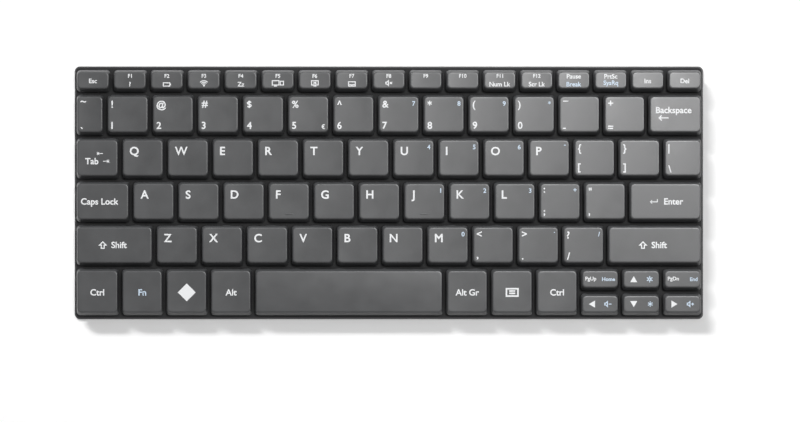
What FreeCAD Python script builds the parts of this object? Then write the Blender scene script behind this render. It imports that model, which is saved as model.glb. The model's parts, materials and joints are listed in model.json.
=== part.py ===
import FreeCAD
import Part
import math
import os
from collections import namedtuple

# Keyboard module of a small laptop: keycaps on scissor levers over a dome membrane and a steel plate.
# Millimetres. X runs along the rows, Y from the space bar to the function keys, Z up from the back face.

# Key field
FIELD_WIDTH = 246.5
FIELD_DEPTH = 97.48
FUNCTION_ROW_DEPTH = 9.7
BOTTOM_ROW_DEPTH = 19.5
GRAVE_WIDTH = 12.1
BACKSPACE_WIDTH = 22.0
TAB_WIDTH = 18.0
CAPS_WIDTH = 22.2
LEFT_SHIFT_WIDTH = 31.4
LEFT_CTRL_WIDTH = 17.9
LEFT_MODIFIER_PITCH = 17.4
RIGHT_MODIFIER_PITCH = 17.6
ARROW_PITCH = 16.17
FUNCTION_KEYS = 17

# Keycap
KEY_GAP = 1.1
KEY_TRAVEL = 1.8
BOTTOM_OUT_GAP = 0.2
CAP_HEIGHT = 2.4
CAP_TOP_THICKNESS = 1.0
CAP_WALL = 0.7
CAP_CORNER = 0.9
SIDE_SLOPE = 0.6
BACK_SLOPE = 0.9
FRONT_SLOPE = 1.3

# Plate, membrane and backing film
PLATE_BORDER_X = 0.5
PLATE_BORDER_Y = 1.0
PLATE_CORNER_RADIUS = 2.0
PLATE_THICKNESS = 0.4
MEMBRANE_THICKNESS = 0.3
MEMBRANE_INSET = 0.6
FILM_THICKNESS = 0.1
FILM_INSET = 0.4
TAIL_SLOT_WIDTH = 22.0
TAIL_SLOT_DEPTH = 2.0

# Scissor levers and domes
LEVER_WIDTH = 11.0
LEVER_LENGTH = 9.6
LEVER_LEG = 0.9
LEVER_BAR = 0.7
LEVER_THICKNESS = 0.7
LEVER_CLEARANCE = 0.15
DOME_RADIUS = 2.8
DOME_TOP_RADIUS = 1.5
DOME_CLEARANCE = 0.2
DOME_SIDES = 6

# Lanced hooks
HOOK_WIDTH = 1.6
HOOK_THICKNESS = 0.35
HOOK_LEAN = 0.4
HOOK_COVER = 0.45
HOOK_CLEARANCE = 0.05
HOLE_CLEARANCE = 0.2

# Stabiliser wires
WIRE_RADIUS = 0.4
WIRE_SIDES = 8
WIRE_ARM = 6.9
WIRE_JOURNAL = 3.2
WIRE_CLEARANCE = 0.1
CLIP_WIDTH = 2.0
CLIP_THICKNESS = 0.3

# Levels of the stack, from the back face up
PLATE_BACK = FILM_THICKNESS
PLATE_FRONT = PLATE_BACK + PLATE_THICKNESS
MEMBRANE_FRONT = PLATE_FRONT + MEMBRANE_THICKNESS
SKIRT = MEMBRANE_FRONT + BOTTOM_OUT_GAP + KEY_TRAVEL
CAP_TOP = SKIRT + CAP_HEIGHT
CEILING = CAP_TOP - CAP_TOP_THICKNESS

KEY_PITCH_X = (FIELD_WIDTH - GRAVE_WIDTH - BACKSPACE_WIDTH) / 12
KEY_PITCH_Y = (FIELD_DEPTH - FUNCTION_ROW_DEPTH - BOTTOM_ROW_DEPTH) / 4
PLATE_WIDTH = FIELD_WIDTH + 2 * PLATE_BORDER_X
PLATE_DEPTH = FIELD_DEPTH + 2 * PLATE_BORDER_Y

TAB_ROW = "tab q w e r t y u i o p bracket_open bracket_close backslash".split()
CAPS_ROW = "caps a s d f g h j k l semicolon quote enter".split()
SHIFT_ROW = "shift_left z x c v b n m comma period slash shift_right".split()
BOTTOM_ROW = "ctrl_left fn meta alt_left space alt_right menu ctrl_right".split()
WIRED_KEYS = ["enter", "shift_left", "shift_right", "space"]

Vector = FreeCAD.Vector
Cell = namedtuple("Cell", "left right front back")
Scissor = namedtuple("Scissor", "x y width length tilt reach dome")
Wire = namedtuple("Wire", "x half_span run_y run_z pivot_y pivot_z")


def row_cells(widths, back, depth, left=-FIELD_WIDTH / 2):
    """Cells of one row, side by side from the left, each as wide as its pitch."""
    cells = []
    for width in widths:
        cells.append(Cell(left, left + width, back - depth, back))
        left += width
    return cells


def inset(cell, side, front, back):
    return Cell(cell.left + side, cell.right - side, cell.front + front, cell.back - back)


def middle(cell):
    return (cell.left + cell.right) / 2, (cell.front + cell.back) / 2


def corner_points(cell, z, corner=0.0):
    """Corners of a rectangle at height z, cut off at 45 degrees when a corner size is given."""
    left, right, front, back = cell
    if corner == 0:
        plan = [(left, front), (right, front), (right, back), (left, back)]
    else:
        plan = [(left + corner, front), (right - corner, front)]
        plan += [(right, front + corner), (right, back - corner)]
        plan += [(right - corner, back), (left + corner, back)]
        plan += [(left, back - corner), (left, front + corner)]
    return [Vector(x, y, z) for x, y in plan]


def flat_face(points):
    return Part.Face(Part.makePolygon(points + points[:1]))


def frustum(lower, upper):
    """Solid between two rings of as many points, joined by flat sides."""
    faces = [flat_face(lower), flat_face(upper)]
    for i in range(len(lower)):
        faces.append(flat_face([lower[i - 1], lower[i], upper[i], upper[i - 1]]))
    return Part.Solid(Part.Shell(faces))


def profile_bar(profile, x, width):
    """Bar along X, centred on x, with a profile of (y, z) points."""
    start = [Vector(x - width / 2, y, z) for y, z in profile]
    return flat_face(start).extrude(Vector(width, 0, 0))


def sheet(width, depth, radius, z, thickness, holes=()):
    """Flat sheet with rounded corners round the middle of the part, and rectangular holes."""
    blank = Part.makeBox(width, depth, thickness, Vector(-width / 2, -depth / 2, z))
    upright = [edge for edge in blank.Edges if abs(edge.tangentAt(edge.FirstParameter).z) > 0.9]
    blank = blank.makeFillet(radius, upright)
    if not holes:
        return blank
    tools = [frustum(corner_points(hole, z), corner_points(hole, z + thickness)) for hole in holes]
    return blank.cut(tools).Solids[0]


def cap_outline(cell, z):
    """Outside of a keycap at height z, between its skirt and its smaller top."""
    rise = (z - SKIRT) / CAP_HEIGHT
    skirt = inset(cell, KEY_GAP / 2, KEY_GAP / 2, KEY_GAP / 2)
    return inset(skirt, SIDE_SLOPE * rise, FRONT_SLOPE * rise, BACK_SLOPE * rise)


def cap_inside(cell, z):
    return inset(cap_outline(cell, z), CAP_WALL, CAP_WALL, CAP_WALL)


def stabiliser(cell):
    """Where a key's wire lies: its run under the cap's front wall, its pivots on the plate behind."""
    room = cap_inside(cell, CEILING)
    x, _ = middle(room)
    run_z = CEILING - WIRE_CLEARANCE - WIRE_RADIUS
    pivot_z = MEMBRANE_FRONT + WIRE_CLEARANCE + WIRE_RADIUS
    arm_rest = math.sqrt(WIRE_ARM**2 - (run_z - pivot_z) ** 2)
    arm_pressed = math.sqrt(WIRE_ARM**2 - (run_z - KEY_TRAVEL - pivot_z) ** 2)
    run_y = room.front + WIRE_CLEARANCE + WIRE_RADIUS + arm_pressed - arm_rest
    half_span = (room.right - room.left) / 2 - 2 * WIRE_CLEARANCE - WIRE_RADIUS
    return Wire(x, half_span, run_y, run_z, run_y + arm_rest, pivot_z)


def scissor(cell, wired):
    """Place, size and tilt of a key's two levers, as large as the cap leaves room for."""
    room = cap_inside(cell, CEILING)
    x, key_y = middle(cell)
    front = room.front + LEVER_CLEARANCE
    if wired:
        front = stabiliser(cell).run_y + WIRE_RADIUS + LEVER_CLEARANCE
    front += HOOK_THICKNESS + HOOK_LEAN
    back = room.back - LEVER_CLEARANCE
    width = min(LEVER_WIDTH, room.right - room.left - 2 * LEVER_CLEARANCE)
    length = min(LEVER_LENGTH, back - front)
    half_height = (CEILING - MEMBRANE_FRONT) / 2
    diagonal = math.hypot(length, LEVER_THICKNESS) / 2
    tilt = math.asin(half_height / diagonal) - math.atan2(LEVER_THICKNESS, length)
    reach = (length * math.cos(tilt) + LEVER_THICKNESS * math.sin(tilt)) / 2
    y = max(front + reach, min(key_y, back - reach))
    inner_opening = width / 2 - 2 * LEVER_LEG
    dome = min(DOME_RADIUS, reach - LEVER_BAR - DOME_CLEARANCE, inner_opening - DOME_CLEARANCE)
    return Scissor(x, y, width, length, tilt, reach, dome)


def lever(spot, width, low_side):
    """U-shaped lever lying from the membrane up to the cap, its cross bar at the low end."""
    outer = width / 2
    inner = outer - LEVER_LEG
    end = low_side * spot.length / 2
    bar = end - low_side * LEVER_BAR
    plan = [(-outer, end), (outer, end), (outer, -end), (inner, -end)]
    plan += [(inner, bar), (-inner, bar), (-inner, -end), (-outer, -end)]
    face = flat_face([Vector(x, y, -LEVER_THICKNESS / 2) for x, y in plan])
    solid = face.extrude(Vector(0, 0, LEVER_THICKNESS))
    solid.rotate(Vector(0, 0, 0), Vector(1, 0, 0), -low_side * math.degrees(spot.tilt))
    solid.translate(Vector(spot.x, spot.y, (MEMBRANE_FRONT + CEILING) / 2))
    return solid


def dome(spot):
    """Rubber dome as a many-sided frustum from the membrane up to the cap."""
    top = DOME_TOP_RADIUS / DOME_RADIUS * spot.dome
    rings = []
    for radius, z in [(spot.dome, MEMBRANE_FRONT), (top, CEILING)]:
        turns = [2 * math.pi * i / DOME_SIDES for i in range(DOME_SIDES)]
        rings.append([Vector(spot.x + radius * math.cos(t), spot.y + radius * math.sin(t), z) for t in turns])
    return frustum(rings[0], rings[1])


def lever_hook(spot):
    """Tongue lanced out of the plate, leaning over the inner lever's low cross bar, and its membrane hole."""
    bar_top = LEVER_THICKNESS * math.cos(spot.tilt)
    height = MEMBRANE_THICKNESS + bar_top + HOOK_COVER
    lean_at_bar = HOOK_LEAN * (height - HOOK_COVER) / height
    foot = spot.y - spot.reach - HOOK_CLEARANCE - HOOK_THICKNESS - lean_at_bar
    profile = [(foot, PLATE_FRONT), (foot + HOOK_THICKNESS, PLATE_FRONT)]
    profile += [(foot + HOOK_THICKNESS + HOOK_LEAN, PLATE_FRONT + height)]
    profile += [(foot + HOOK_LEAN, PLATE_FRONT + height)]
    hole = Cell(spot.x - HOOK_WIDTH / 2, spot.x + HOOK_WIDTH / 2, foot, foot + HOOK_THICKNESS + HOOK_LEAN)
    return profile_bar(profile, spot.x, HOOK_WIDTH), inset(hole, -HOLE_CLEARANCE, -HOLE_CLEARANCE, 0)


def wire_hook(wire, side):
    """Hook of the plate, curled over the end of a stabiliser wire that turns in it, and its membrane hole."""
    x = wire.x + side * (wire.half_span - WIRE_JOURNAL / 2)
    inner = WIRE_RADIUS + WIRE_CLEARANCE
    outer = inner + HOOK_THICKNESS
    corner = outer * math.tan(math.pi / 8)
    root = PLATE_FRONT - wire.pivot_z
    profile = [(inner, 0), (inner, root), (outer, root), (outer, corner), (corner, outer)]
    profile += [(-WIRE_RADIUS, outer), (-WIRE_RADIUS, inner), (0, inner)]
    profile += [(inner * math.sqrt(0.5), inner * math.sqrt(0.5))]
    points = [Vector(x - HOOK_WIDTH / 2, wire.pivot_y + y, wire.pivot_z + z) for y, z in profile]
    edges = [Part.makeLine(points[i], points[i + 1]) for i in range(7)]
    edges.append(Part.Arc(points[7], points[8], points[0]).toShape())
    solid = Part.Face(Part.Wire(edges)).extrude(Vector(HOOK_WIDTH, 0, 0))
    hole = Cell(x - HOOK_WIDTH / 2, x + HOOK_WIDTH / 2, wire.pivot_y + inner, wire.pivot_y + outer)
    return solid, inset(hole, -HOLE_CLEARANCE, -HOLE_CLEARANCE, -HOLE_CLEARANCE)


def bent_rod(points, radius):
    """Many-sided rod along straight runs: its ring of corners goes along each run to the mitre at its end."""
    turns = [2 * math.pi * (i + 0.5) / WIRE_SIDES for i in range(WIRE_SIDES)]
    ring = [points[0] + Vector(0, radius * math.cos(t), radius * math.sin(t)) for t in turns]
    faces = [flat_face(ring)]
    for i in range(1, len(points)):
        along = (points[i] - points[i - 1]).normalize()
        mitre = along
        if i + 1 < len(points):
            mitre = along + (points[i + 1] - points[i]).normalize()
        carried = [at + along * ((points[i] - at).dot(mitre) / along.dot(mitre)) for at in ring]
        for k in range(WIRE_SIDES):
            faces.append(flat_face([ring[k - 1], ring[k], carried[k], carried[k - 1]]))
        ring = carried
    faces.append(flat_face(ring))
    return Part.Solid(Part.Shell(faces))


def stabiliser_wire(wire):
    """Bent wire: run under the cap, two arms, and two ends turned in to the plate's hooks."""
    arm_x = wire.half_span
    end_x = wire.half_span - WIRE_JOURNAL
    pivot = (wire.pivot_y, wire.pivot_z)
    run = (wire.run_y, wire.run_z)
    path = [(-end_x, pivot), (-arm_x, pivot), (-arm_x, run), (arm_x, run), (arm_x, pivot), (end_x, pivot)]
    return bent_rod([Vector(wire.x + x, y, z) for x, (y, z) in path], WIRE_RADIUS)


def wire_clip(wire, x):
    """Hook under the cap that carries the wire's run and lets it slide as the arm swings."""
    near = wire.run_y + WIRE_RADIUS + WIRE_CLEARANCE
    far = near + CLIP_THICKNESS
    tip = wire.run_y - WIRE_RADIUS
    floor = wire.run_z - WIRE_RADIUS - WIRE_CLEARANCE
    profile = [(far, CEILING), (near, CEILING), (near, floor), (tip, floor)]
    profile += [(tip, floor - CLIP_THICKNESS), (far, floor - CLIP_THICKNESS)]
    return profile_bar(profile, x, CLIP_WIDTH)


def keycap(cell, wired=False):
    """Hollow cap with sloping sides, steepest at the sides and flattest at the front."""
    block = frustum(
        corner_points(cap_outline(cell, SKIRT), SKIRT, CAP_CORNER),
        corner_points(cap_outline(cell, CAP_TOP), CAP_TOP, CAP_CORNER),
    )
    hollow = frustum(
        corner_points(cap_inside(cell, SKIRT), SKIRT),
        corner_points(cap_inside(cell, CEILING), CEILING),
    )
    cap = block.cut(hollow)
    if wired:
        wire = stabiliser(cell)
        offset = (wire.half_span + scissor(cell, wired).width / 2) / 2
        cap = cap.fuse([wire_clip(wire, wire.x + side * offset) for side in (-1, 1)])
    return cap.Solids[0]


def place_keys():
    """Cells of the fixed groups and of the named keys, row by row from the back."""
    back = FIELD_DEPTH / 2
    groups = {"function": row_cells([FIELD_WIDTH / FUNCTION_KEYS] * FUNCTION_KEYS, back, FUNCTION_ROW_DEPTH)}
    back -= FUNCTION_ROW_DEPTH
    groups["number"] = row_cells([GRAVE_WIDTH] + [KEY_PITCH_X] * 12 + [BACKSPACE_WIDTH], back, KEY_PITCH_Y)

    keys = {}
    for names, first in [(TAB_ROW, TAB_WIDTH), (CAPS_ROW, CAPS_WIDTH), (SHIFT_ROW, LEFT_SHIFT_WIDTH)]:
        back -= KEY_PITCH_Y
        letters = [KEY_PITCH_X] * (len(names) - 2)
        last = FIELD_WIDTH - first - sum(letters)
        keys.update(zip(names, row_cells([first] + letters + [last], back, KEY_PITCH_Y)))

    back -= KEY_PITCH_Y
    left_keys = [LEFT_CTRL_WIDTH] + [LEFT_MODIFIER_PITCH] * 3
    right_keys = [RIGHT_MODIFIER_PITCH] * 3
    space = FIELD_WIDTH - sum(left_keys) - sum(right_keys) - 3 * ARROW_PITCH
    keys.update(zip(BOTTOM_ROW, row_cells(left_keys + [space] + right_keys, back, BOTTOM_ROW_DEPTH)))

    half = BOTTOM_ROW_DEPTH / 2
    arrows_left = FIELD_WIDTH / 2 - 3 * ARROW_PITCH
    groups["arrow"] = row_cells([ARROW_PITCH] * 3, back, half, arrows_left)
    groups["arrow"] += row_cells([ARROW_PITCH] * 3, back - half, half, arrows_left)
    return groups, keys


def build():
    groups, keys = place_keys()
    spots = [scissor(cell, False) for cells in groups.values() for cell in cells]
    spots += [scissor(cell, name in WIRED_KEYS) for name, cell in keys.items()]
    wires = {name: stabiliser(keys[name]) for name in WIRED_KEYS}

    hooks = [lever_hook(spot) for spot in spots]
    hooks += [wire_hook(wire, side) for wire in wires.values() for side in (-1, 1)]
    slot_line = Cell(0, 0, keys["space"].back, keys["space"].back)
    tail_slot = inset(slot_line, -TAIL_SLOT_WIDTH / 2, -TAIL_SLOT_DEPTH / 2, -TAIL_SLOT_DEPTH / 2)
    plate = sheet(PLATE_WIDTH, PLATE_DEPTH, PLATE_CORNER_RADIUS, PLATE_BACK, PLATE_THICKNESS, [tail_slot])

    parts = {}
    parts["base_plate"] = plate.fuse([solid for solid, hole in hooks]).Solids[0]
    parts["backing_film"] = sheet(
        PLATE_WIDTH - 2 * FILM_INSET, PLATE_DEPTH - 2 * FILM_INSET,
        PLATE_CORNER_RADIUS - FILM_INSET, 0, FILM_THICKNESS, [tail_slot],
    )
    holes = [hole for solid, hole in hooks]
    parts["membrane_circuit"] = sheet(
        PLATE_WIDTH - 2 * MEMBRANE_INSET, PLATE_DEPTH - 2 * MEMBRANE_INSET,
        PLATE_CORNER_RADIUS - MEMBRANE_INSET, PLATE_FRONT, MEMBRANE_THICKNESS, holes,
    )
    parts["rubber_domes"] = Part.makeCompound([dome(spot) for spot in spots])
    parts["outer_levers"] = Part.makeCompound([lever(spot, spot.width, 1) for spot in spots])
    parts["inner_levers"] = Part.makeCompound([lever(spot, spot.width - 2 * LEVER_LEG, -1) for spot in spots])
    for group, cells in groups.items():
        parts[group + "_keycaps"] = Part.makeCompound([keycap(cell) for cell in cells])
    for name, cell in keys.items():
        parts["key_" + name] = keycap(cell, name in WIRED_KEYS)
    for name, wire in wires.items():
        parts["wire_" + name] = stabiliser_wire(wire)
    return parts


os.makedirs("parts", exist_ok=True)
for node, shape in build().items():
    shape.exportStep("parts/" + node + ".step")
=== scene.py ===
import bmesh
import bpy
import json
import numpy as np
from math import pi, radians
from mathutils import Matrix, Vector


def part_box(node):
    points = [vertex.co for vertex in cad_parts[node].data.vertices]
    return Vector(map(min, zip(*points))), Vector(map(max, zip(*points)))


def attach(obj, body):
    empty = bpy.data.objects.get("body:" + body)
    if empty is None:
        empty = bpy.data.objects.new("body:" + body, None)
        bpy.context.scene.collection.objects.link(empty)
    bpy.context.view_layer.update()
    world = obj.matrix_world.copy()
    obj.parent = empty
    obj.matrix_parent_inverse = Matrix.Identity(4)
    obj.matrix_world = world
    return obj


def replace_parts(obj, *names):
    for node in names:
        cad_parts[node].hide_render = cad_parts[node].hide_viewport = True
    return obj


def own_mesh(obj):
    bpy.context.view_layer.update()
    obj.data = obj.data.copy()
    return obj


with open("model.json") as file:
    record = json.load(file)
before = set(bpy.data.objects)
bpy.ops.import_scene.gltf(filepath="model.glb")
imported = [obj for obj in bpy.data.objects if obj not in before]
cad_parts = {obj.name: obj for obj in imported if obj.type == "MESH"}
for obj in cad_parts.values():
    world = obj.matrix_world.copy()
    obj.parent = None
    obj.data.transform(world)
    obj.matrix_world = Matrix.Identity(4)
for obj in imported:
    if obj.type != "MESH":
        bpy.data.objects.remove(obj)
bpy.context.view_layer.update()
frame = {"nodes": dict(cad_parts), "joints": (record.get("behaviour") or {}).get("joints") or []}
scene = bpy.context.scene

# The backing film is a black polyester sheet on the steel's back that keeps it off the laptop's board.
# It is die-cut with one slot and glued on, so it lies flat, with a slightly uneven gloss.
MM = 0.001
GRAIN_INPUTS = {"Colour": "Color", "Scale": "Float", "Contrast": "Float", "Roughness": "Float",
                "Spread": "Float"}
GRAIN_OUTPUTS = {"Colour": "Color", "Roughness": "Float", "Height": "Float"}
GRAIN_DETAIL = 3.0
BLOTCH_DETAIL = 2.0
BLOTCH_COARSENESS = 0.02
MEAN_OF_BOTH = 1.0
RELIEF_DEPTH = 0.02 * MM


def math_node(tree, operation, *values):
    """Output of a new Math node whose inputs are numbers or outputs of other nodes."""
    node = tree.nodes.new("ShaderNodeMath")
    node.operation = operation
    for socket, value in zip(node.inputs, values):
        if isinstance(value, float):
            socket.default_value = value
        else:
            tree.links.new(value, socket)
    return node.outputs[0]


def noise_node(tree, place, scale, detail):
    """Output of a new noise texture at a place, with its scale from another node."""
    node = tree.nodes.new("ShaderNodeTexNoise")
    node.inputs["Detail"].default_value = detail
    tree.links.new(place, node.inputs["Vector"])
    tree.links.new(scale, node.inputs["Scale"])
    return node.outputs["Fac"]


def grain_group():
    """Fine moulded grain: a fine noise and one fifty times coarser, added and centred on zero.

    The sum scales the colour by the contrast and shifts the roughness by the spread.
    The fine noise alone gives the height.
    """
    group = bpy.data.node_groups.new("surface_grain", "ShaderNodeTree")
    for direction, sockets in [("INPUT", GRAIN_INPUTS), ("OUTPUT", GRAIN_OUTPUTS)]:
        for name, kind in sockets.items():
            group.interface.new_socket(name, in_out=direction, socket_type="NodeSocket" + kind)
    given = group.nodes.new("NodeGroupInput").outputs
    made = group.nodes.new("NodeGroupOutput").inputs
    place = group.nodes.new("ShaderNodeTexCoord").outputs["Object"]
    grain = noise_node(group, place, given["Scale"], GRAIN_DETAIL)
    blotch_scale = math_node(group, "MULTIPLY", given["Scale"], BLOTCH_COARSENESS)
    blotch = noise_node(group, place, blotch_scale, BLOTCH_DETAIL)
    both = math_node(group, "ADD", grain, blotch)
    centred = math_node(group, "SUBTRACT", both, MEAN_OF_BOTH)
    shade = math_node(group, "MULTIPLY_ADD", centred, given["Contrast"], 1.0)
    tint = group.nodes.new("ShaderNodeVectorMath")
    tint.operation = "SCALE"
    group.links.new(given["Colour"], tint.inputs[0])
    group.links.new(shade, tint.inputs["Scale"])
    rough = math_node(group, "MULTIPLY_ADD", centred, given["Spread"], given["Roughness"])
    group.links.new(tint.outputs[0], made["Colour"])
    group.links.new(rough, made["Roughness"])
    group.links.new(grain, made["Height"])
    return group


surface_grain = grain_group()


def grained_material(name, colour, scale, contrast, roughness, spread, bump, metallic=0.0, ior=1.5):
    """Principled surface whose colour, roughness and bump come from the shared grain."""
    material = bpy.data.materials.new(name)
    material.use_nodes = True
    nodes, links = material.node_tree.nodes, material.node_tree.links
    shader = nodes["Principled BSDF"]
    shader.inputs["Metallic"].default_value = metallic
    shader.inputs["IOR"].default_value = ior
    grain = nodes.new("ShaderNodeGroup")
    grain.node_tree = surface_grain
    grain.inputs["Colour"].default_value = (*colour, 1.0)
    grain.inputs["Scale"].default_value = scale
    grain.inputs["Contrast"].default_value = contrast
    grain.inputs["Roughness"].default_value = roughness
    grain.inputs["Spread"].default_value = spread
    relief = nodes.new("ShaderNodeBump")
    relief.inputs["Strength"].default_value = bump
    relief.inputs["Distance"].default_value = RELIEF_DEPTH
    links.new(grain.outputs["Colour"], shader.inputs["Base Color"])
    links.new(grain.outputs["Roughness"], shader.inputs["Roughness"])
    links.new(grain.outputs["Height"], relief.inputs["Height"])
    links.new(relief.outputs["Normal"], shader.inputs["Normal"])
    return material


def dress(node, material):
    """Give a CAD node's object one material in place of its own."""
    piece = frame["nodes"][node]
    piece.data.materials.clear()
    piece.data.materials.append(material)


black_film = grained_material("black_film", (0.035, 0.035, 0.037), scale=900.0, contrast=0.25,
                              roughness=0.38, spread=0.2, bump=0.15)
dress("backing_film", black_film)

# The base plate is thin sheet steel, stamped with one slot and lanced with the hooks that hold the levers.
# It has a black baked coating with a fine, slightly uneven texture.
coated_steel = grained_material("coated_steel", (0.03, 0.03, 0.032), scale=2500.0, contrast=0.4,
                                roughness=0.5, spread=0.25, bump=0.3)
dress("base_plate", coated_steel)

# The membrane is three polyester films bonded into one sheet with printed contacts between them.
# The top film is coloured near black as painted shade for the gaps between the keys, so only a dull dark
# floor shows there.
printed_film = grained_material("printed_film", (0.009, 0.009, 0.01), scale=1500.0, contrast=0.3,
                                roughness=0.8, spread=0.15, bump=0.1)
dress("membrane_circuit", printed_film)

# The rubber domes are pressed silicone cups, one under each key, bonded to the membrane.
# Each is a cone with a flat crown that pushes on the cap and snaps through when the key goes down.
FIXED_KEYS = {"function_keycaps": 17, "number_keycaps": 14, "arrow_keycaps": 6}
MOVING_KEYS = [joint["name"].removeprefix("press_") for joint in frame["joints"] if joint["type"] == "slide"]
FIXED_COUNT = sum(FIXED_KEYS.values())
KEY_COUNT = FIXED_COUNT + len(MOVING_KEYS)
DOME_TURNS = 20
DOME_PROFILE = np.array([(1, 0), (1, 0.05), (0.94, 0.1), (0.8, 0.42), (0.66, 0.72), (0.6, 0.78),
                         (0.54, 0.8), (0.53, 0.97), (0.5, 1)])
SMOOTH_ANGLE = 40.0


def solid_boxes(node, count):
    """Lowest and highest corners of a node's equal solids, which follow one another in its mesh."""
    mesh = frame["nodes"][node].data
    corners = np.empty(len(mesh.vertices) * 3, np.float32)
    mesh.vertices.foreach_get("co", corners)
    corners = corners.reshape(count, -1, 3).astype(float)
    return corners.min(1), corners.max(1)


def grid_faces(rows, columns, closed=True):
    """Quads of a grid of points, row by row, whose columns close into a ring unless closed is False."""
    steps = columns if closed else columns - 1
    row, column = np.meshgrid(np.arange(rows - 1), np.arange(steps), indexing="ij")
    after = (column + 1) % columns
    quads = np.stack([row * columns + column, row * columns + after,
                      (row + 1) * columns + after, (row + 1) * columns + column], -1)
    return quads.reshape(-1, 4)


def closed_tube_faces(rings, columns):
    """Quads between rings that follow one another, with one flat face over the first and the last ring."""
    last = (rings - 1) * columns
    ends = [list(range(columns))[::-1], list(range(last, last + columns))]
    return grid_faces(rings, columns).tolist() + ends


def join_parts(parts):
    """One list of points and faces from several."""
    points, faces, start = [], [], 0
    for part_points, part_faces in parts:
        points.append(part_points)
        faces += [[start + i for i in face] for face in part_faces]
        start += len(part_points)
    return np.concatenate(points), faces


def add_piece(name, points, faces, *materials):
    """New mesh object of the points and faces, smooth but for its sharp edges."""
    mesh = bpy.data.meshes.new(name)
    mesh.from_pydata(points.tolist(), [], faces)
    mesh.update()
    mesh.shade_smooth()
    mesh.set_sharp_from_angle(angle=radians(SMOOTH_ANGLE))
    for material in materials:
        mesh.materials.append(material)
    piece = bpy.data.objects.new(name, mesh)
    scene.collection.objects.link(piece)
    return piece


dome_low, dome_high = solid_boxes("rubber_domes", KEY_COUNT)
dome_middle = (dome_low + dome_high) / 2
dome_radius = (dome_high[:, 0] - dome_low[:, 0]) / 2
dome_faces = closed_tube_faces(len(DOME_PROFILE), DOME_TURNS)
MEMBRANE_TOP = dome_low[0, 2]
CEILING = dome_high[0, 2]


def dome_points(number):
    """Profile of (share of radius, share of height) turned round a dome's axis, rim to crown."""
    turn = np.arange(DOME_TURNS) * 2 * pi / DOME_TURNS
    across = DOME_PROFILE[:, :1] * dome_radius[number]
    x = dome_middle[number, 0] + across * np.cos(turn)
    y = dome_middle[number, 1] + across * np.sin(turn)
    z = MEMBRANE_TOP + DOME_PROFILE[:, 1:] * (CEILING - MEMBRANE_TOP) + 0 * x
    return np.stack([x, y, z], -1).reshape(-1, 3)


silicone = grained_material("milky_silicone", (0.62, 0.63, 0.61), scale=1200.0, contrast=0.12,
                            roughness=0.42, spread=0.1, bump=0.1)


def place_switch_piece(piece, key, slot, *nodes):
    """A dome or lever pair stands on the base; a moving key's piece gets a mesh of its own."""
    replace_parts(piece, *nodes)
    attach(piece, "base")
    if key is not None:
        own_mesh(piece)


SWITCH_GROUPS = [(None, range(FIXED_COUNT))]
SWITCH_GROUPS += [(key, [FIXED_COUNT + i]) for i, key in enumerate(MOVING_KEYS)]
for key, numbers in SWITCH_GROUPS:
    points, faces = join_parts([(dome_points(i), dome_faces) for i in numbers])
    dome = add_piece("dome_" + (key or "fixed_keys"), points, faces, silicone)
    place_switch_piece(dome, key, "dome", "rubber_domes")

# The scissor levers are two moulded frames under each key, crossed and pinned at their middle.
# They are hard pale plastic, given a mid grey darker than white as painted shade where they show in the gaps;
# their low bars lie in the plate's hooks and their tips slide under the cap.
LEVER_THICKNESS = 0.7 * MM
LEVER_RADIUS = LEVER_THICKNESS / 2
LEVER_LEG = 0.9 * MM
CROSS_BAR_STRETCH = 0.6
PIN_RADIUS = 0.24 * MM
PIN_HEAD = 0.06 * MM
PIN_SIDES = 12
ARC_POINTS = 5


def carried_outline(outline, left, right):
    """Closed bar: an outline in Y and Z carried along X from left to right."""
    ends = [np.column_stack([np.full(len(outline), x), outline]) for x in (left, right)]
    return np.concatenate(ends), closed_tube_faces(2, len(outline))


def slanted_bar(low_end, high_end, left, right):
    """Round-ended bar: a stadium outline about two end points in Y and Z, carried from left to right in X."""
    along = high_end - low_end
    turn = np.linspace(-pi / 2, pi / 2, ARC_POINTS) + np.arctan2(along[1], along[0])
    arc = LEVER_RADIUS * np.stack([np.cos(turn), np.sin(turn)], 1)
    return carried_outline(np.concatenate([high_end + arc, low_end - arc]), left, right)


def lever_parts(low, high, low_side):
    """Two legs from the low side up to the other side, and the cross bar that joins their low ends."""
    sides = (low[1] + LEVER_RADIUS, high[1] - LEVER_RADIUS)
    low_end = np.array([sides[1] if low_side > 0 else sides[0], low[2] + LEVER_RADIUS])
    high_end = np.array([sides[0] if low_side > 0 else sides[1], high[2] - LEVER_RADIUS])
    step = (high_end - low_end) / np.linalg.norm(high_end - low_end) * LEVER_RADIUS * CROSS_BAR_STRETCH
    return [
        slanted_bar(low_end, high_end, low[0], low[0] + LEVER_LEG),
        slanted_bar(low_end, high_end, high[0] - LEVER_LEG, high[0]),
        slanted_bar(low_end, low_end + step, low[0] + LEVER_LEG, high[0] - LEVER_LEG),
    ]


def pin_parts(low, high):
    """Two round pins along X at the middle of the crossed legs, their ends a little proud of the legs."""
    turn = np.arange(PIN_SIDES) * 2 * pi / PIN_SIDES
    around = (low[1:] + high[1:]) / 2 + PIN_RADIUS * np.stack([np.cos(turn), np.sin(turn)], 1)
    return [
        carried_outline(around, low[0] - PIN_HEAD, low[0] + LEVER_LEG),
        carried_outline(around, high[0] - LEVER_LEG, high[0] + PIN_HEAD),
    ]


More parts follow.
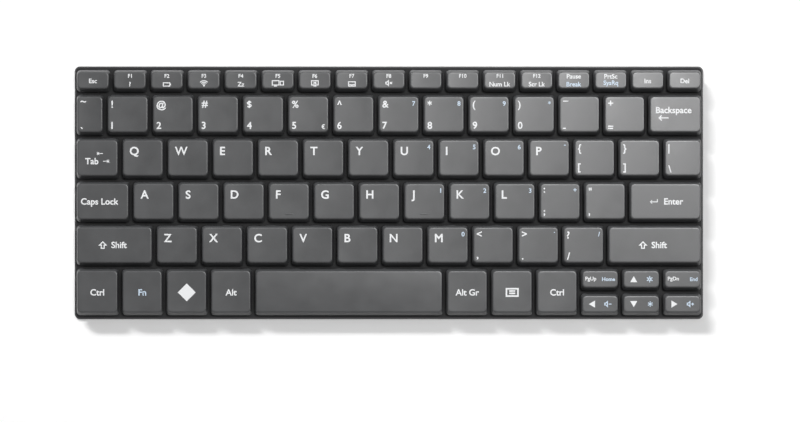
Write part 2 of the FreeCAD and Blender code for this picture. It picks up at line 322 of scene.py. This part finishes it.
outer_low, outer_high = solid_boxes("outer_levers", KEY_COUNT)
inner_low, inner_high = solid_boxes("inner_levers", KEY_COUNT)
# The mid grey is painted shade for where the levers show in the gaps; the plastic itself is paler.
lever_plastic = grained_material("pale_lever_plastic", (0.48, 0.48, 0.46), scale=2500.0, contrast=0.1,
                                 roughness=0.4, spread=0.1, bump=0.2)
for key, numbers in SWITCH_GROUPS:
    parts = []
    for i in numbers:
        parts += lever_parts(outer_low[i], outer_high[i], 1)
        parts += lever_parts(inner_low[i], inner_high[i], -1)
        parts += pin_parts(outer_low[i], outer_high[i])
    points, faces = join_parts(parts)
    levers = add_piece("levers_" + (key or "fixed_keys"), points, faces, lever_plastic)
    place_switch_piece(levers, key, "lever", "outer_levers", "inner_levers")

# The stabiliser wires are bent spring steel under the wide keys, so that a press at one end stays level.
# Two turned-in ends lie in hooks of the plate and the long run slides in clips under the cap.
WIRE_RADIUS = 0.37 * MM
WIRE_END = 3.2 * MM
WIRE_SIDES = 12
BEND_RADIUS = 0.9 * MM
BEND_POINTS = 5
UP_FROM_WIRE = np.array([0, 0.35, 0.94])


def bent_path(corners):
    """Straight runs with each corner rounded by a quadratic curve that starts and ends a bend radius away."""
    path = [corners[:1]]
    for before, corner, after in zip(corners, corners[1:], corners[2:]):
        start = corner + (before - corner) / np.linalg.norm(before - corner) * BEND_RADIUS
        end = corner + (after - corner) / np.linalg.norm(after - corner) * BEND_RADIUS
        t = np.linspace(0, 1, BEND_POINTS)[:, None]
        path.append((1 - t) ** 2 * start + 2 * t * (1 - t) * corner + t**2 * end)
    path.append(corners[-1:])
    return np.concatenate(path)


def tube(path, radius):
    """Circle carried along a path, square to its direction, with closed ends.

    The circle's first axis is square to the path and to a direction that points up from the wire's plane.
    """
    along = np.gradient(path, axis=0)
    along /= np.linalg.norm(along, axis=1)[:, None]
    side = np.cross(along, UP_FROM_WIRE)
    side /= np.linalg.norm(side, axis=1)[:, None]
    up = np.cross(side, along)
    turn = np.arange(WIRE_SIDES) * 2 * pi / WIRE_SIDES
    ring = np.cos(turn)[None, :, None] * side[:, None] - np.sin(turn)[None, :, None] * up[:, None]
    points = (path[:, None] + radius * ring).reshape(-1, 3)
    return points, closed_tube_faces(len(path), WIRE_SIDES)


spring_steel = grained_material("drawn_steel_wire", (0.55, 0.55, 0.57), scale=3000.0, contrast=0.15,
                                roughness=0.28, spread=0.1, bump=0.1, metallic=1.0)
for joint in frame["joints"]:
    if joint["type"] != "hinge":
        continue
    key = joint["name"].removeprefix("swing_")
    low, high = (np.array(corner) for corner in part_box("wire_" + key))
    pivot = np.array(joint["pos_m"])
    half_span = (high[0] - low[0]) / 2 - WIRE_RADIUS
    run = np.array([0, low[1] + WIRE_RADIUS - pivot[1], high[2] - WIRE_RADIUS - pivot[2]])
    across = np.array([1, 0, 0])
    corners = pivot + np.array([
        -across * (half_span - WIRE_END), -across * half_span, -across * half_span + run,
        across * half_span + run, across * half_span, across * (half_span - WIRE_END),
    ])
    points, faces = tube(bent_path(corners), WIRE_RADIUS)
    wire = add_piece("stabiliser_" + key, points, faces, spring_steel)
    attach(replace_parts(wire, "wire_" + key), "wire_" + key)

# The keycaps are hollow tiles of charcoal plastic with a fine spark-eroded grain and a slightly dished top.
# The sides slope in to the top, most at the front, and every upper edge has a small moulded radius.
SIDE_SLOPE = 0.6 * MM
BACK_SLOPE = 0.9 * MM
FRONT_SLOPE = 1.3 * MM
CAP_WALL = 0.7 * MM
CAP_CORNER = 1.5 * MM
LEAST_CORNER = 0.5 * MM
CORNER_LOSS = 0.8
SKIRT_EDGE = 0.08 * MM
TOP_RADIUS = 0.32 * MM
TOP_RIM = 0.3 * MM
DISH = 0.12 * MM
CROWN = 0.2 * MM
CROWNED_WIDTH = 50 * MM
CORNER_POINTS = 5
SIDE_POINTS = 9
EDGE_POINTS = 5
TOP_ROWS = 5
CHARCOAL = (0.046, 0.047, 0.049)

corner_turn = np.linspace(0, pi / 2, CORNER_POINTS)
side_share = np.linspace(-1, 1, SIDE_POINTS + 2)[1:-1]
column_straight = np.concatenate([np.full(CORNER_POINTS, -1), side_share, np.full(CORNER_POINTS, 1)])
column_bend = np.concatenate([-np.cos(corner_turn), 0 * side_share, np.sin(corner_turn)])
row_bend = np.concatenate([np.sin(corner_turn), 0 * side_share + 1, np.cos(corner_turn)])
row_share = np.linspace(-1, 1, TOP_ROWS)[:, None]
COLUMNS = len(column_straight)
tile_numbers = np.arange(TOP_ROWS * COLUMNS).reshape(TOP_ROWS, COLUMNS)
rim = np.concatenate([tile_numbers[0], tile_numbers[1:-1, -1],
                      tile_numbers[-1, ::-1], tile_numbers[-2:0:-1, 0]])


def tile_grid(left, right, front, back, corner):
    """Rounded rectangle as a grid: columns bend with the corner arcs and rows spread evenly between them."""
    x = (left + right) / 2 + column_straight * ((right - left) / 2 - corner) + corner * column_bend
    y = (front + back) / 2 + row_share * ((back - front) / 2 - corner + corner * row_bend)
    return np.stack([x + 0 * y, y], -1).reshape(-1, 2)


def top_sink(x, y, low, high):
    """Depth below the highest point: a shallow trough from side to side, or a crown on the long space bar."""
    top_low = low[:2] + [SIDE_SLOPE, FRONT_SLOPE]
    top_high = high[:2] - [SIDE_SLOPE, BACK_SLOPE]
    across = np.clip((2 * x - top_low[0] - top_high[0]) / (top_high[0] - top_low[0]), -1, 1)
    along = np.clip((2 * y - top_low[1] - top_high[1]) / (top_high[1] - top_low[1]), -1, 1)
    return CROWN * along**2 if high[0] - low[0] > CROWNED_WIDTH else DISH * (1 - across**2)


def cap_shell(low, high):
    """Rim outlines from the ceiling down the inside and up the slopes, closed by the sunk grid of the top.

    Each level is an inset from the sloping side and a height; those of the rounded edge sink with the top.
    """
    height = high[2] - low[2]
    slopes = np.array([SIDE_SLOPE, -SIDE_SLOPE, FRONT_SLOPE, -BACK_SLOPE])
    sides = np.array([low[0], high[0], low[1], high[1]])
    wall = [(CAP_WALL, CEILING - low[2]), (CAP_WALL, 0), (SKIRT_EDGE, 0), (0, SKIRT_EDGE), (0, height / 2)]
    over = np.linspace(0, pi / 2, EDGE_POINTS)
    edge = np.column_stack([TOP_RADIUS * (1 - np.cos(over)), height - TOP_RADIUS * (1 - np.sin(over))])
    levels = np.concatenate([wall, edge, [(TOP_RADIUS + TOP_RIM, height)]])
    inset, z = levels[:, :1], levels[:, 1:]
    corners = np.maximum(CAP_CORNER - CORNER_LOSS * inset[:, 0], LEAST_CORNER)
    rectangles = sides + inset * np.sign(slopes) + slopes * z / height
    tiles = np.array([tile_grid(*rectangle, corner) for rectangle, corner in zip(rectangles, corners)])
    outlines = tiles[:, rim]
    sink = top_sink(outlines[:, :, 0], outlines[:, :, 1], low, high)
    sink[:len(wall)] = 0
    z = low[2] + z - sink
    walls = np.concatenate([outlines, z[:, :, None]], 2).reshape(-1, 3)
    top = tiles[-1]
    top = np.column_stack([top, high[2] - top_sink(top[:, 0], top[:, 1], low, high)])
    inside = np.setdiff1d(tile_numbers, rim)
    renumber = np.empty(len(top), int)
    renumber[rim] = len(walls) - len(rim) + np.arange(len(rim))
    renumber[inside] = len(walls) + np.arange(len(inside))
    faces = closed_tube_faces(len(levels), len(rim))[:-1]
    faces += renumber[grid_faces(TOP_ROWS, COLUMNS, closed=False)].tolist()
    return np.concatenate([walls, top[inside]]), faces


CLIP_WIDTH = 2.0 * MM
CLIP_THICKNESS = 0.3 * MM
CLIP_CLEARANCE = 0.1 * MM
CLIPPED_RADIUS = 0.4 * MM


def wire_clips(key):
    """Two hooked bars under a cap that hold the wire's run: an L-shaped outline carried along X."""
    low, high = (np.array(corner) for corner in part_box("wire_" + key))
    number = FIXED_COUNT + MOVING_KEYS.index(key)
    lever_half = (outer_high[number, 0] - outer_low[number, 0]) / 2
    run = low[1] + CLIPPED_RADIUS
    offset = ((high[0] - low[0]) / 2 - CLIPPED_RADIUS + lever_half) / 2
    near = run + CLIPPED_RADIUS + CLIP_CLEARANCE
    tip = run - CLIPPED_RADIUS
    floor = high[2] - 2 * CLIPPED_RADIUS - CLIP_CLEARANCE
    outline = np.array([
        (near + CLIP_THICKNESS, CEILING), (near, CEILING), (near, floor), (tip, floor),
        (tip, floor - CLIP_THICKNESS), (near + CLIP_THICKNESS, floor - CLIP_THICKNESS),
    ])
    middles = (low[0] + high[0]) / 2 + np.array([-offset, offset])
    return [carried_outline(outline, x - CLIP_WIDTH / 2, x + CLIP_WIDTH / 2) for x in middles]


HOMING_KEYS = ("f", "j")
BAR_LENGTH = 3.6 * MM
BAR_WIDTH = 0.5 * MM
BAR_HEIGHT = 0.1 * MM
BAR_SUNK_SHARE = 0.2
BAR_END_SHARE = 0.98
BAR_BLUNTNESS = 8
BAR_FROM_FRONT = 3.2 * MM
BAR_STATIONS = 9
BAR_POINTS = 9


def homing_bar(low, high):
    """Raised bar that fingers feel on a home key: a half-round section carried along X, smaller at its ends.

    The section's size follows the root of one less a high power of the way from the middle to the end.
    """
    station = np.linspace(-1, 1, BAR_STATIONS)[:, None]
    turn = np.linspace(0, pi, BAR_POINTS)
    taper = np.sqrt(1 - (BAR_END_SHARE * station) ** BAR_BLUNTNESS)
    x = (low[0] + high[0]) / 2 + BAR_LENGTH / 2 * station + 0 * turn
    y = low[1] + BAR_FROM_FRONT - BAR_WIDTH / 2 * taper * np.cos(turn)
    rise = taper * np.sin(turn) * (1 + BAR_SUNK_SHARE) - BAR_SUNK_SHARE
    z = high[2] - top_sink(x, y, low, high) + BAR_HEIGHT * rise
    return np.stack([x, y, z], -1).reshape(-1, 3), closed_tube_faces(BAR_STATIONS, BAR_POINTS)


keycap_plastic = grained_material("charcoal_keycap", CHARCOAL, scale=6000.0, contrast=0.35,
                                  roughness=0.345, spread=0.15, bump=0.45, ior=1.58)

# The legends are printed on the caps in thin white ink, with second functions in pale blue.
# Letters sit at the upper left of a cap, and words on the wide keys near its middle.
print_white = grained_material("white_print", (0.72, 0.73, 0.74), scale=5000.0, contrast=0.1,
                               roughness=0.5, spread=0.1, bump=0.1)
print_blue = grained_material("blue_print", (0.5, 0.6, 0.71), scale=5000.0, contrast=0.1,
                              roughness=0.5, spread=0.1, bump=0.1)
CAP_MATERIALS = [keycap_plastic, print_white, print_blue]
BARE = 0
WHITE = 1
BLUE = 2
DIAMOND = 5.0 * MM
MENU = 3.6 * MM
LETTER = 3.3 * MM
SYMBOL = 2.8 * MM
WORD = 2.5 * MM
ICON = 2.1 * MM
SMALL = 1.8 * MM
TINY = 1.5 * MM
INK_THICKNESS = 0.015 * MM

# The pen's width and the growth of bold letters are shares of a mark's height, and the longest mitre is a
# multiple of that growth. Each line of an icon lies over the one before by a share of the ink's thickness.
PEN = 0.17
PEN_CORNERS = 4
BOLD = 0.032
LONGEST_MITRE = 1.5
LINE_LIFT = 0.1

# Side of the cap's top in X and Y, 0 for its middle, and the distance from that side or middle in millimetres
PLACES = {
    "letter": (-1, 1, 2.2, 2.2),
    "upper": (-1, 1, 0.9, 1.2),
    "lower": (-1, -1, 0.9, 0.8),
    "keypad": (1, 1, 0.9, 1.4),
    "corner": (1, -1, 0.9, 0.8),
    "middle": (0, 0, 0, -0.3),
    "caps_word": (0, 0, -1.2, -0.4),
    "top": (0, 1, 0, 0.45),
    "bottom": (0, -1, 0, 0.4),
    "left": (-1, 0, 0.8, 0),
    "right": (1, 0, 0.8, 0),
    "pair_left": (-1, 0, 2.2, 0),
    "pair_right": (1, 0, 2.2, 0),
    "arrow_left": (0, 0, -4.6, 0),
    "word_right": (0, 0, 1.8, 0),
    "far_right": (0, 0, 3.2, 0),
    "upper_line": (0, 0, 1.0, 1.7),
    "lower_word": (0, 0, -2.2, -1.3),
    "lower_arrow": (0, 0, 3.4, -1.3),
    "long_word": (0, 0, -0.6, 1.3),
    "under_word": (0, 0, -4.6, -1.4),
}

# Lines of the icons and of two signs, in a frame one unit high
ring_turn = np.linspace(0, 2 * pi, 13)
ring = np.column_stack([np.cos(ring_turn), np.sin(ring_turn)])
fan_turn = np.linspace(pi * 0.25, pi * 0.75, 6)
fan = np.column_stack([np.cos(fan_turn), np.sin(fan_turn)])
rays = [0.5 + np.outer([0.32, 0.5], ring[i]) for i in (1, 3, 5, 7, 9, 11)]
speaker = [(0, 0.33), (0.2, 0.33), (0.5, 0.05), (0.5, 0.95), (0.2, 0.67), (0, 0.67), (0, 0.33)]
screen = [(0, 0.2), (1.25, 0.2), (1.25, 1), (0, 1), (0, 0.2)]
screen_foot = [(0.35, 0), (0.9, 0)]
second_screen = [(1.5, 0.2), (2.1, 0.2), (2.1, 0.9), (1.5, 0.9), (1.5, 0.2)]
ICON_LINES = {
    "arrow": [[(0, 0.5), (1.5, 0.5)], [(0.4, 0.9), (0, 0.5), (0.4, 0.1)]],
    "return": [[(1.5, 1), (1.5, 0.4), (0, 0.4)], [(0.35, 0.75), (0, 0.4), (0.35, 0.05)]],
    "shift": [[(0.5, 1), (1, 0.5), (0.72, 0.5), (0.72, 0), (0.28, 0), (0.28, 0.5), (0, 0.5), (0.5, 1)]],
    "tab_back": [[(0.15, 0.5), (1.5, 0.5)], [(0.5, 0.85), (0.15, 0.5), (0.5, 0.15)], [(0, 0.1), (0, 0.9)]],
    "tab_on": [[(0, 0.5), (1.35, 0.5)], [(1, 0.85), (1.35, 0.5), (1, 0.15)], [(1.5, 0.1), (1.5, 0.9)]],
    "menu": [screen, [(0.3, 0.75), (0.95, 0.75)], [(0.3, 0.5), (0.95, 0.5)]],
    "bright": [0.5 + 0.2 * ring] + rays,
    "dim": [0.5 + 0.12 * ring] + [0.5 + (ray - 0.5) * 0.8 for ray in rays],
    "quiet": [speaker, [(0.75, 0.5), (1.25, 0.5)]],
    "loud": [speaker, [(0.75, 0.5), (1.25, 0.5)], [(1, 0.25), (1, 0.75)]],
    "mute": [speaker, [(0.75, 0.3), (1.2, 0.7)], [(0.75, 0.7), (1.2, 0.3)]],
    "wireless": [(0.7, 0) + fan * radius for radius in (0.4, 0.7, 1)] + [(0.7, 0.08) + 0.08 * ring],
    "two_screens": [screen, second_screen, screen_foot],
    "dark_screen": [screen, [(0.35, 0.4), (0.9, 0.8)], [(0.35, 0.8), (0.9, 0.4)], screen_foot],
    "touch_pad": [screen, [(0, 0.45), (1.25, 0.45)], [(0.62, 0.2), (0.62, 0.45)]],
    "battery": [[(0, 0.2), (1.2, 0.2), (1.2, 0.8), (0, 0.8), (0, 0.2)], [(1.35, 0.35), (1.35, 0.65)]],
    "$": [[(0.6, 0.72), (0.5, 0.82), (0.25, 0.84), (0.08, 0.72), (0.1, 0.58), (0.3, 0.5), (0.5, 0.44),
           (0.6, 0.3), (0.5, 0.16), (0.28, 0.12), (0.06, 0.2)], [(0.33, -0.02), (0.33, 1)]],
    "€": [[(0.72, 0.85), (0.55, 0.94), (0.35, 0.9), (0.2, 0.72), (0.16, 0.5), (0.2, 0.28), (0.35, 0.1),
           (0.55, 0.06), (0.72, 0.15)], [(0, 0.6), (0.55, 0.6)], [(0, 0.4), (0.55, 0.4)]],
}


def stacked_signs(pair):
    """Marks of a key with one sign over another."""
    return [(pair[0], "upper", SYMBOL, WHITE), (pair[1], "lower", SYMBOL, WHITE)]


# Marks of each key: what is printed, its place, its height and its ink
legends = {key: [(key.upper(), "letter", LETTER, WHITE)] for key in MOVING_KEYS if len(key) == 1}
stacked = {"bracket_open": "{[", "bracket_close": "}]", "backslash": "|\\", "semicolon": ":;", "quote": "\"'",
           "comma": "<,", "period": ">.", "slash": "?/"}
legends.update({key: stacked_signs(pair) for key, pair in stacked.items()})
keypad = {"u": "4", "i": "5", "o": "6", "p": "-", "j": "1", "k": "2", "l": "3", "semicolon": "+", "m": "0",
          "period": ".", "slash": "/"}
for key, sign in keypad.items():
    legends[key].append((sign, "keypad", SMALL, BLUE))
legends.update({
    "tab": [("tab_back", "upper_line", TINY, WHITE), ("Tab", "lower_word", WORD, WHITE),
            ("tab_on", "lower_arrow", TINY, WHITE)],
    "caps": [("Caps Lock", "caps_word", WORD, WHITE)],
    "enter": [("return", "arrow_left", SMALL, WHITE), ("Enter", "far_right", WORD, WHITE)],
    "shift_left": [("shift", "arrow_left", WORD, WHITE), ("Shift", "word_right", WORD, WHITE)],
    "shift_right": [("shift", "arrow_left", WORD, WHITE), ("Shift", "word_right", WORD, WHITE)],
    "ctrl_left": [("Ctrl", "middle", WORD, WHITE)],
    "fn": [("Fn", "middle", WORD, BLUE)],
    "meta": [("◆", "middle", DIAMOND, WHITE)],
    "alt_left": [("Alt", "middle", WORD, WHITE)],
    "space": [],
    "alt_right": [("Alt Gr", "middle", WORD, WHITE)],
    "menu": [("menu", "middle", MENU, WHITE)],
    "ctrl_right": [("Ctrl", "middle", WORD, WHITE)],
})
second_function = ["?", "battery", "wireless", "Zz", "two_screens", "dark_screen", "touch_pad", "mute",
                   "", "", "Num Lk", "Scr Lk"]
function_legends = [[("Esc", "middle", SMALL, WHITE)]]
for number, second in enumerate(second_function, 1):
    marks = [(f"F{number}", "top", TINY, WHITE)]
    if second:
        marks.append((second, "bottom", ICON if second in ICON_LINES else SMALL, WHITE))
    function_legends.append(marks)
function_legends += [
    [("Pause", "top", SMALL, WHITE), ("Break", "bottom", SMALL, BLUE)],
    [("PrtSc", "top", SMALL, WHITE), ("SysRq", "bottom", SMALL, BLUE)],
    [("Ins", "middle", SMALL, WHITE)],
    [("Del", "middle", SMALL, WHITE)],
]
number_legends = [stacked_signs(pair) for pair in "~` !1 @2 #3 $4 %5 ^6 &7 *8 (9 )0 _- +=".split()]
number_legends[5].append(("€", "corner", SMALL, WHITE))
for spot, sign in [(7, "7"), (8, "8"), (9, "9"), (10, "*")]:
    number_legends[spot].append((sign, "keypad", SMALL, BLUE))
number_legends.append([("Backspace", "long_word", WORD, WHITE), ("arrow", "under_word", WORD, WHITE)])
arrow_legends = [
    [("PgUp", "left", TINY, WHITE), ("Home", "right", TINY, BLUE)],
    [("▲", "pair_left", ICON, WHITE), ("bright", "pair_right", WORD, BLUE)],
    [("PgDn", "left", TINY, WHITE), ("End", "right", TINY, BLUE)],
    [("◄", "pair_left", ICON, WHITE), ("quiet", "pair_right", ICON, BLUE)],
    [("▼", "pair_left", ICON, WHITE), ("dim", "pair_right", WORD, BLUE)],
    [("►", "pair_left", ICON, WHITE), ("loud", "pair_right", ICON, BLUE)],
]
fixed_legends = {
    "function_keycaps": function_legends,
    "number_keycaps": number_legends,
    "arrow_keycaps": arrow_legends,
}

# The built-in font: height of its capitals, steps of its curves, and how its letters become solids
FONT_CAPITAL = 0.729
FONT_STEPS = 4
FONT_DEPTH = 0.01
WELD_DISTANCE = 1e-5
LEAST_REACH = 1e-6
WALL_CORNERS = 4
WALL_TILT = 0.5


def word_mesh(words):
    """Plan, layer (1 above the surface, -1 below) and faces of bold words, capitals one unit high.

    The built-in font is made bold: each outline point moves out along the mean normal of its two side walls.
    """
    curve = bpy.data.curves.new("legend", "FONT")
    curve.body = words
    curve.resolution_u = FONT_STEPS
    curve.extrude = FONT_DEPTH
    holder = bpy.data.objects.new("legend", curve)
    scene.collection.objects.link(holder)
    mesh = bpy.data.meshes.new_from_object(holder.evaluated_get(bpy.context.evaluated_depsgraph_get()))
    welded = bmesh.new()
    welded.from_mesh(mesh)
    bmesh.ops.remove_doubles(welded, verts=welded.verts, dist=WELD_DISTANCE)
    welded.to_mesh(mesh)
    welded.free()
    points = np.empty(len(mesh.vertices) * 3, np.float32)
    mesh.vertices.foreach_get("co", points)
    points = points.reshape(-1, 3).astype(float)
    faces = [list(face.vertices) for face in mesh.polygons]
    normals = np.empty(len(faces) * 3, np.float32)
    mesh.polygons.foreach_get("normal", normals)
    normals = normals.reshape(-1, 3).astype(float)
    walls = np.flatnonzero(np.abs(normals[:, 2]) < WALL_TILT)
    outwards = np.zeros((len(points), 2))
    for corner in range(WALL_CORNERS):
        np.add.at(outwards, [faces[i][corner] for i in walls], normals[walls, :2])
    reach = np.maximum(np.linalg.norm(outwards, axis=1), LEAST_REACH)
    mitre = outwards / reach[:, None] * np.minimum(2 / reach, LONGEST_MITRE)[:, None]
    bpy.data.objects.remove(holder)
    bpy.data.meshes.remove(mesh)
    return points[:, :2] / FONT_CAPITAL + BOLD * mitre, np.sign(points[:, 2]), faces


def pen_line(line, lift):
    """Line of one pen width with mitred corners: each point moves by half a width along its mean normal."""
    line = np.array(line, float)
    looped = np.allclose(line[0], line[-1])
    line = line[:-1] if looped else line
    step = np.roll(line, -1, 0) - line
    normal = np.column_stack([-step[:, 1], step[:, 0]]) / np.linalg.norm(step, axis=1)[:, None]
    before = np.roll(normal, 1, 0)
    if not looped:
        normal[-1] = normal[-2]
        before[0] = normal[0]
    mitre = (normal + before) / (1 + (normal * before).sum(1))[:, None] * PEN / 2
    plan = np.stack([line - mitre, line + mitre, line + mitre, line - mitre], 1).reshape(-1, 2)
    layer = np.tile([lift, lift, -1, -1], len(line))
    if looped:
        faces = (grid_faces(len(line) + 1, PEN_CORNERS) % len(plan)).tolist()
    else:
        faces = closed_tube_faces(len(line), PEN_CORNERS)
    return np.column_stack([plan, layer]), faces


def mark_mesh(mark):
    """An icon drawn with the pen, each line a little above the one before, or else words."""
    if mark not in ICON_LINES:
        return word_mesh(mark)
    lines = [pen_line(line, 1 + LINE_LIFT * i) for i, line in enumerate(ICON_LINES[mark])]
    points, faces = join_parts(lines)
    return points[:, :2], points[:, 2], faces


def cap_with_legend(low, high, marks):
    """Points, faces and inks of one cap with its printed marks laid on the sunk top."""
    shell, faces = cap_shell(low, high)
    points = [shell]
    inks = [BARE] * len(faces)
    start = len(shell)
    top_low = low[:2] + [SIDE_SLOPE + TOP_RADIUS, FRONT_SLOPE + TOP_RADIUS]
    top_high = high[:2] - [SIDE_SLOPE + TOP_RADIUS, BACK_SLOPE + TOP_RADIUS]
    for mark, place, size, ink in marks:
        plan, layer, mark_faces = mark_mesh(mark)
        plan = plan * size
        lowest, highest = plan.min(0), plan.max(0)
        side = np.array(PLACES[place][:2])
        margin = np.array(PLACES[place][2:]) * MM
        edge = np.where(side > 0, top_high - margin - highest, top_low + margin - lowest)
        middle = (top_low + top_high - lowest - highest) / 2 + margin
        plan = plan + np.where(side == 0, middle, edge)
        ink_top = high[2] - top_sink(plan[:, 0], plan[:, 1], low, high) + layer * INK_THICKNESS
        points.append(np.column_stack([plan, ink_top]))
        faces += [[start + i for i in face] for face in mark_faces]
        inks += [ink] * len(mark_faces)
        start += len(plan)
    return np.concatenate(points), faces, inks


def add_caps(name, boxes, marks, fittings=()):
    """One piece of one or more caps with their legends and a cap's moulded clips or homing bar."""
    parts = [cap_with_legend(low, high, words) for low, high, words in zip(*boxes, marks)]
    parts += [(points, faces, [BARE] * len(faces)) for points, faces in fittings]
    points, faces = join_parts([part[:2] for part in parts])
    piece = add_piece(name, points, faces, *CAP_MATERIALS)
    inks = np.concatenate([part[2] for part in parts]).astype(np.int32)
    piece.data.polygons.foreach_set("material_index", inks)
    return piece


for key in MOVING_KEYS:
    low, high = (np.array(corner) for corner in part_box("key_" + key))
    fittings = wire_clips(key) if "wire_" + key in frame["nodes"] else []
    fittings += [homing_bar(low, high)] if key in HOMING_KEYS else []
    cap = add_caps("keycap_" + key, ([low], [high]), [legends[key]], fittings)
    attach(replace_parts(cap, "key_" + key), "key_" + key)
for node, marks in fixed_legends.items():
    caps = add_caps("printed_" + node, solid_boxes(node, FIXED_KEYS[node]), marks)
    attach(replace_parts(caps, node), "base")

# The stage is a white table under a long light from behind on the left, made of a row of small suns.
# Of two panels in one place on the right, one gives the sheen of the key tops and one fills the shadow.
# A faint panel behind lights the rims.
FLOOR_SIZE = 6.0
FLOOR_COLOUR = (0.94, 0.94, 0.94, 1)
FLOOR_ROUGHNESS = 0.9
floor_points = np.array([(-1, -1, 0), (1, -1, 0), (1, 1, 0), (-1, 1, 0)]) * FLOOR_SIZE / 2
floor_paint = bpy.data.materials.new("white_table")
floor_paint.use_nodes = True
floor_shader = floor_paint.node_tree.nodes["Principled BSDF"]
floor_shader.inputs["Base Color"].default_value = FLOOR_COLOUR
floor_shader.inputs["Roughness"].default_value = FLOOR_ROUGHNESS
floor = add_piece("floor", floor_points, [[0, 1, 2, 3]], floor_paint)


def add_light(name, kind, place, strength):
    """Lamp at a place, turned to the middle of the module."""
    lamp = bpy.data.lights.new(name, kind)
    lamp.energy = strength
    holder = bpy.data.objects.new(name, lamp)
    holder.location = place
    holder.rotation_euler = Vector(place).to_track_quat("Z", "Y").to_euler()
    scene.collection.objects.link(holder)
    return holder


def add_panel(name, place, width, depth, watts):
    """Rectangular soft light."""
    panel = add_light(name, "AREA", place, watts)
    panel.data.shape = "RECTANGLE"
    panel.data.size = width
    panel.data.size_y = depth
    panel.visible_camera = False
    return panel


SUNS = 6
SUN_STRENGTH = 3.6
SUN_ANGLE = 6
SUN_NEAREST = -0.40
SUN_FARTHEST = -0.86
SUN_BEHIND = 1.0
SUN_UP = 0.554
for number, aside in enumerate(np.linspace(SUN_NEAREST, SUN_FARTHEST, SUNS)):
    sun_place = (aside, SUN_BEHIND, SUN_UP)
    back_light = add_light("back_light_%d" % number, "SUN", sun_place, SUN_STRENGTH / SUNS)
    back_light.data.angle = radians(SUN_ANGLE)
    back_light.visible_glossy = False
PANEL_PLACE = (0.28, 0.31, 1.15)
RIM_PLACE = (0, 0.9, 0.9)
sheen_panel = add_panel("sheen_panel", PANEL_PLACE, width=0.52, depth=0.2, watts=12.2)
sheen_panel.visible_diffuse = False
fill_panel = add_panel("fill_panel", PANEL_PLACE, width=0.52, depth=0.2, watts=8.0)
fill_panel.visible_glossy = False
add_panel("rim_panel", RIM_PLACE, width=1.2, depth=0.3, watts=1.2)

WORLD_LIGHT = 0.13
WORLD_SEEN = 0.6
world = bpy.data.worlds.new("studio")
world.use_nodes = True
studio = world.node_tree
light_path = studio.nodes.new("ShaderNodeLightPath")
seen = light_path.outputs["Is Camera Ray"]
for ray in ("Is Glossy Ray", "Is Transmission Ray"):
    seen = math_node(studio, "MAXIMUM", seen, light_path.outputs[ray])
level = studio.nodes.new("ShaderNodeMapRange")
level.inputs["To Min"].default_value = WORLD_LIGHT
level.inputs["To Max"].default_value = WORLD_SEEN
background = studio.nodes["Background"]
background.inputs["Color"].default_value = (1, 1, 1, 1)
studio.links.new(seen, level.inputs["Value"])
studio.links.new(level.outputs["Result"], background.inputs["Strength"])
scene.world = world

# The camera looks straight down, a little right of the module's middle and nearer its space bar.
# Its lens gives the photo's scale at a height a little below the key tops.
PHOTO_WIDTH = 800
MM_PER_PIXEL = 0.39246
CAMERA_RIGHT = 4.36 * MM
CAMERA_NEARER = 7.19 * MM
CAMERA_HEIGHT = 0.9
SCALED_HEIGHT = 4 * MM
SENSOR_WIDTH = 36.0
camera_data = bpy.data.cameras.new("camera")
camera_data.sensor_width = SENSOR_WIDTH
camera_data.lens = SENSOR_WIDTH * (CAMERA_HEIGHT - SCALED_HEIGHT) / (PHOTO_WIDTH * MM_PER_PIXEL * MM)
camera = bpy.data.objects.new("camera", camera_data)
camera.location = (CAMERA_RIGHT, -CAMERA_NEARER, CAMERA_HEIGHT)
scene.collection.objects.link(camera)
scene.camera = camera
scene.view_settings.view_transform = "Standard"
